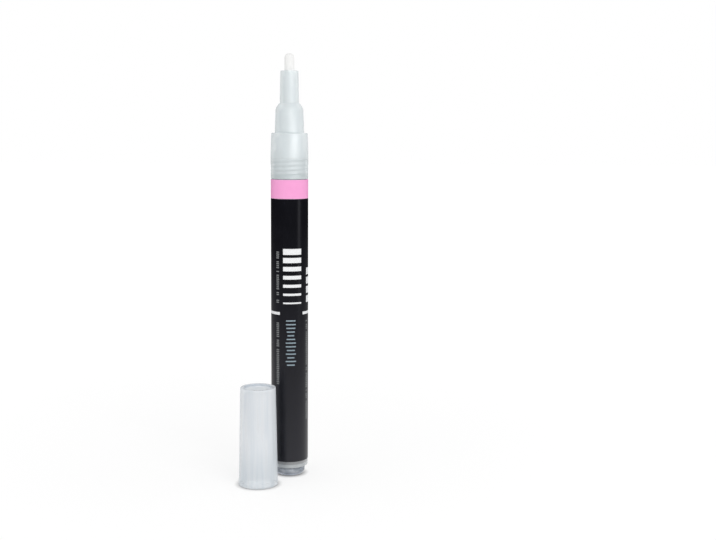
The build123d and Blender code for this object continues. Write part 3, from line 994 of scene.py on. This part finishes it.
def cap_plastic():
    """Frosted plastic of the cap, with painted shade towards its mouth and on the wall of the dish in its
    end.
    """
    material = plastic(
        "cap_look",
        tone("cap"),
        tone("cap_deep"),
        roughness=(0.26, 0.36),
        alpha=0.65,
        ior=1.46,
        cloud=700.0,
        flow=0.06,
    )
    tree, sizes = material.node_tree, settings().cap
    # Painted shade towards the cap's mouth
    mouth = height_mask(material, none_at=low_end("cap_liner"), full_at=3 * MM)
    deepen(material, mouth, tone("mouth_tint"))
    # Painted shade on the wall of the dish in the closed end
    floor = high_end("cap_shell") - sizes.dish
    wall = height_mask(material, none_at=floor, full_at=floor + sizes.dish_round)
    middle = (*axis_of("cap_shell"), 0.0)
    flat = drawn_out(tree, object_spot(tree), factors=(1.0, 1.0, 0.0))
    reach = place(tree, "ShaderNodeVectorMath", {0: flat, 1: middle}, operation="DISTANCE")["Value"]
    inside = maths(tree, "LESS_THAN", reach, sizes.top - sizes.rim + sizes.edge_round / 2)
    deepen(material, maths(tree, "MULTIPLY", wall, inside), tone("dish_tint"))
    return material


def barrel_plastic():
    """Milky plastic of the barrel, with painted shade under its label and more on the strip just below the
    label, which stops short of its lower rim.
    """
    material = plastic(
        "barrel_look",
        tone("milk"),
        tone("milk_deep"),
        roughness=(0.14, 0.24),
        alpha=0.65,
        ior=1.5,
        grain=0.003 * MM,
    )
    shaded = height_mask(material, none_at=high_end("label_sleeve"), full_at=low_end("label_sleeve"))
    deepen(material, shaded, tone("label_tint"))
    base = low_end("barrel")
    # Painted shade on the strip just below the label, stopping above the barrel's lower rim
    above_rim = height_mask(material, none_at=base + 0.9 * MM, full_at=base + 1.4 * MM)
    strip = maths(material.node_tree, "MULTIPLY", shaded, above_rim)
    deepen(material, strip, tone("strip_tint"))
    return material


def clear_plastic():
    """Clear plastic of the tail, with painted shade where it goes into the barrel and round its lower edge.
    """
    material = plastic(
        "clear_look",
        tone("clear"),
        tone("clear_deep"),
        roughness=(0.06, 0.14),
        transmission=0.55,
        ior=1.5,
        flow=2.4,
        grain=0.002 * MM,
    )
    base = low_end("barrel")
    # Painted shade where the tail goes into the barrel
    seat = height_mask(material, none_at=base - 0.8 * MM, full_at=base)
    deepen(material, seat, tone("seat_tint"))
    # Painted shade round the tail's lower edge
    edge = height_mask(material, none_at=1.5 * MM, full_at=0.3 * MM)
    deepen(material, edge, tone("foot_tint"))
    return material


# Operators


class MARKER_OT_barrel(Operator):
    """Turn the barrel and put the thread on its neck."""

    bl_idname = "paint_marker.barrel"
    bl_label = "Barrel"

    def execute(self, context):
        sizes = settings().barrel
        radius, base, top = half_width("barrel"), low_end("barrel"), high_end("barrel") - sizes.seat_gap
        shoulder = high_end("barrel") - sizes.neck_length
        bore, neck_bore = radius - sizes.wall, sizes.neck_radius - sizes.neck_wall
        cone_top = shoulder - sizes.shoulder_wall
        small = sizes.edge_round / 2
        milky = barrel_plastic()
        barrel = turned(
            "barrel_tube",
            [
                (radius, base, sizes.edge_round),
                (radius, shoulder, sizes.edge_round),
                (sizes.neck_radius, shoulder, small),
                (sizes.neck_radius, top, small),
                (neck_bore, top, small),
                (neck_bore, cone_top, 0),
                (bore, cone_top - sizes.shoulder_cone, 0),
                (bore, base, 0),
            ],
        )
        dress(barrel, milky, "barrel", "barrel_clear", "barrel")
        ridge = wind_thread("neck_thread", milky, sizes.neck_radius, outward=1.0)
        dress(ridge, milky, "barrel", "barrel_clear")
        return {"FINISHED"}


class MARKER_OT_tail(Operator):
    """Turn the clear tail plug with its rounded foot, and the balls that lie in it."""

    bl_idname = "paint_marker.tail"
    bl_label = "Tail and Balls"

    def execute(self, context):
        sizes = settings().barrel
        foot, top = half_width("tail_plug"), high_end("tail_plug")
        ledge = sizes.foot_height - sizes.seat_gap
        bore = sizes.plug_radius - sizes.plug_wall
        small = sizes.edge_round / 2
        plug = turned(
            "tail_foot",
            [
                (0, 0, 0),
                (foot, 0, sizes.foot_round),
                (foot, ledge, small),
                (sizes.plug_radius, ledge, 0),
                (sizes.plug_radius, top, small),
                (bore, top, small),
                (bore, sizes.plug_floor, sizes.plug_wall),
                (0, sizes.plug_floor, 0),
            ],
        )
        dress(plug, clear_plastic(), "barrel", "tail_clear", "tail_plug")
        shine = steel("ball_look", tone("steel"), roughness=(0.12, 0.3))
        for number in (1, 2):
            node = f"mixing_ball_{number}"
            low, high, radius = low_end(node), high_end(node), half_width(node)
            round_ball = [(0, low, 0), (radius, low, radius), (radius, high, radius), (0, high, 0)]
            ball = turned(f"stirring_ball_{number}", round_ball, axis_of(node), segments=64)
            dress(ball, shine, f"ball_{number}", "ball_steel", node)
        return {"FINISHED"}


class MARKER_OT_films(Operator):
    """Wrap the label and the colour band round the barrel."""

    bl_idname = "paint_marker.films"
    bl_label = "Films"

    def execute(self, context):
        sizes = settings().film
        black = film("label_look", tone("label"), tone("label_rubbed"), roughness=(0.28, 0.40), specular=0.55)
        rose = film("band_look", tone("band"), tone("band_rubbed"), roughness=(0.42, 0.55), specular=0.3)
        for name, node, material, slot in (
            ("label_wrap", "label_sleeve", black, "label_film"),
            ("band_wrap", "colour_band", rose, "band_film"),
        ):
            radius, base, top = half_width(node), low_end(node), high_end(node)
            inner, rounding = radius - sizes.thickness, sizes.edge_round
            outline = [(radius, base, rounding), (radius, top, rounding), (inner, top, 0), (inner, base, 0)]
            dress(turned(name, outline), material, "barrel", slot, node)
        base, top = low_end("label_sleeve"), high_end("label_sleeve")
        lap = grown(
            "label_lap",
            wrapped_bars,
            black,
            first_size=top - base - 2 * sizes.edge_round,
            arc_length=sizes.lap_width,
            bearing=math.pi,
            base_height=(base + top) / 2,
            radius=half_width("label_sleeve"),
            thickness=2 * sizes.lap_height,
        )
        dress(lap, black, "barrel", "label_film")
        return {"FINISHED"}


class MARKER_OT_print(Operator):
    """Print plain marks on the label: a ladder of widths, a scale of ticks, dashes, swatches and a ring."""

    bl_idname = "paint_marker.print"
    bl_label = "Printed Marks"

    def execute(self, context):
        white, grey, blue = ink("white"), ink("grey"), ink("blue")
        ring_height, ring_width = settings().film.ring_height, settings().film.ring_width
        # Ladder of line widths, thin at its foot
        self.mark(
            "width_ladder", white, 57.4 * MM, bearing=10, arc=self.around(58), first=0.5 * MM, last=1.9 * MM,
            count=7, pitch=2.75 * MM, arc_steps=24,
        )
        # Scale of ticks below the ring
        self.mark(
            "tick_scale", blue, 37.3 * MM, bearing=5, arc=self.around(34), first=0.4 * MM, last=0.4 * MM,
            count=13, pitch=1.2 * MM, arc_spread=self.around(14), arc_steps=12, seed=4,
        )
        # Columns of dashes at both sides
        dash, pitch = 0.36 * MM, 0.62 * MM
        columns = ((-38, 57.6 * MM, 74.9 * MM), (-38, 31.0 * MM, 51.7 * MM), (66, 19.0 * MM, 52.0 * MM))
        for number, (bearing, low, high) in enumerate(columns, start=1):
            self.mark(
                f"dash_column_{number}", grey, low, bearing=bearing, arc=1.15 * MM, first=dash, last=dash,
                count=int((high - low) / pitch), pitch=pitch, arc_spread=0.25 * MM, arc_steps=3,
                kept_share=0.84, seed=number + 10,
            )
        # Four swatches at the right
        self.mark(
            "swatches", white, 58.4 * MM, bearing=76, arc=self.around(26), first=2.2 * MM, last=2.2 * MM,
            count=4, pitch=3.0 * MM, arc_steps=10,
        )
        # Ring round the label, open in front
        self.mark(
            "ring", white, ring_height, bearing=187.5, arc=self.around(285), arc_steps=120,
            first=ring_width, last=ring_width,
        )
        return {"FINISHED"}

    def around(self, degrees):
        """Length of a stretch round the label."""
        return math.radians(degrees) * half_width("label_sleeve")

    def mark(self, name, material, low, bearing, arc, first, last, **values):
        """Prints a column of bars, from its lowest one up, at a bearing in degrees."""
        bars = grown(
            name,
            wrapped_bars,
            material,
            radius=half_width("label_sleeve"),
            thickness=2 * settings().film.ink,
            base_height=low,
            bearing=math.radians(bearing),
            arc_length=arc,
            first_size=first,
            last_size=last,
            **values,
        )
        dress(bars, material, "barrel", "label_film")


class MARKER_OT_nose(Operator):
    """Turn the stepped nose, with the ribs in its tip and the thread in its collar."""

    bl_idname = "paint_marker.nose"
    bl_label = "Nose"

    def execute(self, context):
        sizes = settings().nose
        collar, base, top = half_width("nose"), low_end("nose"), high_end("nose")
        flange_top = high_end("valve_body") + settings().barrel.seat_gap
        ledge, shoulder, chamber_top = base + sizes.ledge, base + sizes.shoulder, base + sizes.chamber_top
        middle_wall = sizes.middle_top - sizes.middle_bore
        step = sizes.middle_top - sizes.tip_base
        rib_height = sizes.tip_bore - sizes.nib_bore
        frost = nose_plastic()
        nose = turned(
            "nose_shell",
            [
                (collar, base - sizes.skirt, sizes.edge_round / 4),
                (collar, base + sizes.straight, 0),
                (collar - sizes.draft, ledge, sizes.ledge_round),
                (sizes.middle_base, ledge, sizes.edge_round),
                (sizes.middle_top, shoulder - sizes.shoulder_height, sizes.shoulder_round),
                (sizes.tip_base + sizes.shoulder_land, shoulder, sizes.edge_round / 2),
                (sizes.tip_base, shoulder, sizes.edge_round / 2),
                (sizes.tip_top, top, sizes.edge_round),
                (sizes.nib_bore, top, sizes.edge_round / 3),
                (sizes.nib_bore, top - sizes.lip, 0),
                (sizes.tip_bore, top - sizes.lip - rib_height, 0),
                (sizes.tip_bore, shoulder - middle_wall + rib_height, 0),
                (sizes.middle_bore, shoulder - step - middle_wall, 0),
                (sizes.middle_bore, chamber_top, sizes.edge_round),
                (sizes.chamber_bore, chamber_top, sizes.edge_round),
                (sizes.chamber_bore, flange_top, 0),
                (sizes.thread_bore, flange_top, 0),
                (sizes.thread_bore, base + sizes.lead, 0),
                (sizes.thread_bore + sizes.lead, base - sizes.skirt, 0),
            ],
        )
        dress(nose, frost, "head", "frosted_plastic", "nose")
        ribs = grown(
            "nib_ribs",
            ribs_in_bore,
            frost,
            count=sizes.rib_count,
            inner_radius=sizes.nib_bore,
            outer_radius=sizes.tip_bore + settings().thread.sink,
            width=sizes.rib_width,
            base_height=shoulder,
            rise=top - sizes.lip - shoulder,
        )
        dress(ribs, frost, "head", "frosted_plastic")
        ridge = wind_thread("collar_thread", frost, sizes.thread_bore, bearing=math.pi, outward=-1.0)
        dress(ridge, frost, "head", "frosted_plastic")
        return {"FINISHED"}


class MARKER_OT_nib(Operator):
    """Turn the felt nib."""

    bl_idname = "paint_marker.nib"
    bl_label = "Nib"

    def execute(self, context):
        sizes = settings().nib
        radius, rear, tip = half_width("nib"), low_end("nib"), high_end("nib")
        nib = turned(
            "felt_nib",
            [
                (0, rear, 0),
                (radius - sizes.chamfer, rear, 0),
                (radius, rear + sizes.chamfer, 0),
                (radius, tip, sizes.dome),
                (0, tip, 0),
            ],
            segments=96,
        )
        dress(nib, felt("nib_look", tone("felt")), "nib", "nib_felt", "nib")
        return {"FINISHED"}


class MARKER_OT_cap(Operator):
    """Turn the frosted cap and the liner in its closed end."""

    bl_idname = "paint_marker.cap"
    bl_label = "Cap"

    def execute(self, context):
        sizes = settings().cap
        axis, lip, top = axis_of("cap_shell"), half_width("cap_shell"), high_end("cap_shell")
        dish = top - sizes.dish
        ceiling = dish - sizes.end_wall
        liner_mouth = low_end("cap_liner")
        rim = sizes.top - sizes.rim
        small = sizes.edge_round
        shell = turned(
            "cap_tube",
            [
                (sizes.bore + sizes.lead, 0, small),
                (lip, 0, sizes.lip_round),
                (lip, sizes.lip_height, 0),
                (sizes.mouth, sizes.lip_height + sizes.lip_step, 0),
                (sizes.top, top, sizes.top_round),
                (rim, top, small),
                (rim, dish, sizes.dish_round),
                (0, dish, 0),
                (0, ceiling, 0),
                (sizes.upper_bore, ceiling, small),
                (sizes.upper_bore, liner_mouth, 0),
                (sizes.bore, sizes.bore_length, 0),
                (sizes.bore, sizes.lead, 0),
            ],
            axis,
        )
        dress(shell, cap_plastic(), "cap", "frosted_plastic", "cap_shell")
        flange = half_width("cap_liner")
        seat = high_end("cap_liner") - settings().barrel.seat_gap
        inside = seat - sizes.liner_flange
        liner = turned(
            "cap_thimble",
            [
                (sizes.liner_bore, liner_mouth, small),
                (sizes.liner_radius, liner_mouth, small),
                (sizes.liner_radius, inside, small),
                (flange, inside, small),
                (flange, seat, small),
                (0, seat, 0),
                (0, inside, 0),
                (sizes.liner_bore, inside, sizes.liner_round),
            ],
            axis,
        )
        milky = plastic(
            "liner_look", tone("liner"), tone("cap_deep"), roughness=(0.35, 0.5), alpha=0.5, ior=1.5
        )
        dress(liner, milky, "cap", "liner_plastic", "cap_liner")
        return {"FINISHED"}


class MARKER_OT_valve(Operator):
    """Give the valve's pieces and the gasket their materials, and wind the spring that the nib presses."""

    bl_idname = "paint_marker.valve"
    bl_label = "Valve"

    def execute(self, context):
        white = plastic("valve_look", tone("valve"), tone("valve_deep"), roughness=(0.4, 0.55), cloud=900.0)
        rubber = plastic(
            "gasket_look",
            tone("rubber"),
            tone("rubber_deep"),
            roughness=(0.6, 0.8),
            cloud=1500.0,
            grain=0.02 * MM,
        )
        finishes = {"valve_body": white, "valve_cage": white, "valve_stem": white, "neck_gasket": rubber}
        for node, material in finishes.items():
            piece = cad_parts[node]
            if not piece.material_slots:
                piece.data.materials.append(material)
            for slot in piece.material_slots:
                slot.material = material
        self.wind_spring()
        return {"FINISHED"}

    def wind_spring(self):
        """The spring between the cage's floor and the poppet, which shortens as the nib is pressed."""
        sizes = settings().spring
        low, high = low_end("valve_spring"), high_end("valve_spring")
        wire = steel("spring_look", tone("steel"), roughness=(0.25, 0.4))
        spring = grown(
            "return_spring",
            coiled_wire,
            wire,
            radius=half_width("valve_spring") - sizes.wire / 2,
            wire=sizes.wire,
            turns=sizes.turns,
            base_height=low + sizes.wire / 2,
            rise=high - low - sizes.wire,
            end_share=sizes.end_share,
        )
        dress(spring, wire, "head", "spring_steel", "valve_spring")
        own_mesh(spring)


class MARKER_OT_stage(Operator):
    """Set up the floor, the light and the camera."""

    bl_idname = "paint_marker.stage"
    bl_label = "Stage"

    def execute(self, context):
        self.lay_floor()
        self.light_world()
        self.hang_lamps()
        self.stand_camera()
        context.scene.view_settings.view_transform = "Standard"
        return {"FINISHED"}

    def seen_plainly(self, tree):
        """Light Path's outputs, and a mask of rays from the camera or through clear pieces."""
        path = place(tree, "ShaderNodeLightPath")
        return path, maths(tree, "MAXIMUM", path["Is Camera Ray"], path["Is Transmission Ray"])

    def glowing(self, tree, strength):
        """White light of a strength."""
        return place(tree, "ShaderNodeEmission", {"Color": (1, 1, 1, 1), "Strength": strength})[0]

    def mixed(self, tree, factor, first, second):
        """A shader that runs from the first to the second."""
        return place(tree, "ShaderNodeMixShader", {"Fac": factor, 1: first, 2: second})[0]

    def lay_floor(self):
        """A pale floor that shows white and keeps a soft shadow."""
        stage = settings().stage
        work = bmesh.new()
        bmesh.ops.create_grid(work, x_segments=1, y_segments=1, size=stage.floor_reach)
        floor = piece_from("floor", work)
        material = bpy.data.materials.new("floor_paper")
        material.use_nodes = True
        tree = material.node_tree
        tree.nodes.clear()
        spot = object_spot(tree)
        fibres = noise(tree, spot, scale=900.0, detail=3.0)
        paper = blend(tree, fibres, tone("paper"), tone("paper_pale"))
        matt = place(tree, "ShaderNodeBsdfDiffuse", {"Color": paper})[0]
        contact = place(tree, "ShaderNodeAmbientOcclusion", {"Distance": stage.contact}, samples=16)["AO"]
        white = self.glowing(tree, maths(tree, "MULTIPLY", contact, stage.glow))
        reach = place(tree, "ShaderNodeVectorMath", {0: spot}, operation="LENGTH")["Value"]
        near = ramp(tree, reach, stage.shade_start, stage.shade_end, low=stage.shade, high=0.0)
        shown = self.mixed(tree, near, white, matt)
        fade = maths(tree, "EXPONENT", maths(tree, "DIVIDE", reach, -stage.sheet_reach))
        path, plainly = self.seen_plainly(tree)
        glossed = self.mixed(tree, path["Is Glossy Ray"], matt, self.glowing(tree, fade))
        place(tree, "ShaderNodeOutputMaterial", {"Surface": self.mixed(tree, plainly, glossed, shown)})
        floor.data.materials.append(material)

    def light_world(self):
        """An even pale surround that shows as white, and is dimmer near the horizon in glossy pieces."""
        world = bpy.data.worlds.new("studio")
        bpy.context.scene.world = world
        world.use_nodes = True
        tree = world.node_tree
        tree.nodes.clear()
        path, plainly = self.seen_plainly(tree)
        up = parts_of(tree, place(tree, "ShaderNodeTexCoord")["Generated"])["Z"]
        gloss = ramp(tree, up, start=0.1, end=0.9, low=0.005, high=0.9)
        light = between(tree, path["Is Glossy Ray"], settings().stage.ambient, gloss)
        strength = between(tree, plainly, light, 1.0)
        sky = place(tree, "ShaderNodeBackground", {"Color": (1, 1, 1, 1), "Strength": strength})[0]
        place(tree, "ShaderNodeOutputWorld", {"Surface": sky})

    def hang_lamps(self):
        """Two soft lamps in front that only light, and two at the right that only show in the gloss."""
        stage = settings().stage
        frosted = bpy.data.collections.new("frosted_pieces")
        frosted.objects.link(bpy.data.objects["nose_shell"])
        # Name, power, place, width and height, what it doesn't show in, and the only pieces that it lights
        for name, watts, spot, size, hidden, pieces in (
            ("key_lamp", stage.key, (0.24, -0.44, 0.34), (0.3, 0.4), "visible_glossy", None),
            ("fill_lamp", stage.fill, (-0.45, -0.35, 0.20), (0.3, 0.4), "visible_glossy", None),
            ("strip_lamp", stage.strip, (0.53, -0.28, 0.10), (0.12, 0.45), "visible_diffuse", None),
            ("sheen_lamp", stage.sheen, (0.32, -0.51, 0.14), (0.3, 0.45), "visible_diffuse", frosted),
        ):
            lamp = bpy.data.lights.new(name, "AREA")
            lamp.shape = "RECTANGLE"
            lamp.size, lamp.size_y = size
            lamp.energy = watts
            holder = bpy.data.objects.new(name, lamp)
            bpy.context.scene.collection.objects.link(holder)
            holder.location = spot
            towards = Vector((0, 0, stage.aim)) - holder.location
            holder.rotation_euler = towards.to_track_quat("-Z", "Y").to_euler()
            setattr(holder, hidden, False)
            if pieces:
                holder.light_linking.receiver_collection = pieces

    def stand_camera(self):
        """The camera in front, a little above the middle of the marker."""
        stage = settings().stage
        ahead = Vector(
            (
                math.sin(stage.yaw) * math.cos(stage.pitch),
                math.cos(stage.yaw) * math.cos(stage.pitch),
                -math.sin(stage.pitch),
            )
        )
        level = Vector((math.cos(stage.yaw), -math.sin(stage.yaw), 0))
        upright = level.cross(ahead)
        right = level * math.cos(stage.roll) + upright * math.sin(stage.roll)
        above = upright * math.cos(stage.roll) - level * math.sin(stage.roll)
        camera = bpy.data.cameras.new("camera")
        camera.sensor_width = SENSOR_WIDTH
        camera.lens = stage.focal / IMAGE_WIDTH * SENSOR_WIDTH
        camera.clip_start = stage.clip_start
        stand = bpy.data.objects.new("camera", camera)
        bpy.context.scene.collection.objects.link(stand)
        turn = Matrix((right, above, -ahead)).transposed().to_4x4()
        stand.matrix_world = Matrix.Translation((stage.aside, -stage.distance, stage.height)) @ turn
        bpy.context.scene.camera = stand


class MARKER_PT_sidebar(Panel):
    """The paint marker's operators and settings."""

    bl_label = "Paint Marker"
    bl_idname = "MARKER_PT_sidebar"
    bl_space_type = "VIEW_3D"
    bl_region_type = "UI"
    bl_category = "Paint Marker"

    def draw(self, context):
        for operator in OPERATORS:
            self.layout.operator(operator.bl_idname)
        for group in MarkerSettings.__annotations__:
            box = self.layout.box()
            box.label(text=group.title())
            values = getattr(settings(), group)
            for key in values.__annotations__:
                box.prop(values, key)


OPERATORS = (
    MARKER_OT_barrel,
    MARKER_OT_tail,
    MARKER_OT_films,
    MARKER_OT_print,
    MARKER_OT_nose,
    MARKER_OT_nib,
    MARKER_OT_cap,
    MARKER_OT_valve,
    MARKER_OT_stage,
)
GROUPS = (
    NoseSettings,
    ThreadSettings,
    BarrelSettings,
    CapSettings,
    NibSettings,
    SpringSettings,
    FilmSettings,
    ColourSettings,
    StageSettings,
    MarkerSettings,
)


def register():
    for kind in (*GROUPS, *OPERATORS, MARKER_PT_sidebar):
        bpy.utils.register_class(kind)
    bpy.types.Scene.paint_marker = PointerProperty(type=MarkerSettings)


def unregister():
    del bpy.types.Scene.paint_marker
    for kind in reversed((*GROUPS, *OPERATORS, MARKER_PT_sidebar)):
        bpy.utils.unregister_class(kind)


def main():
    """Registers the add-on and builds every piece."""
    register()
    for operator in OPERATORS:
        getattr(bpy.ops.paint_marker, operator.bl_idname.split(".")[1])()


if __name__ == "__main__":
    main()
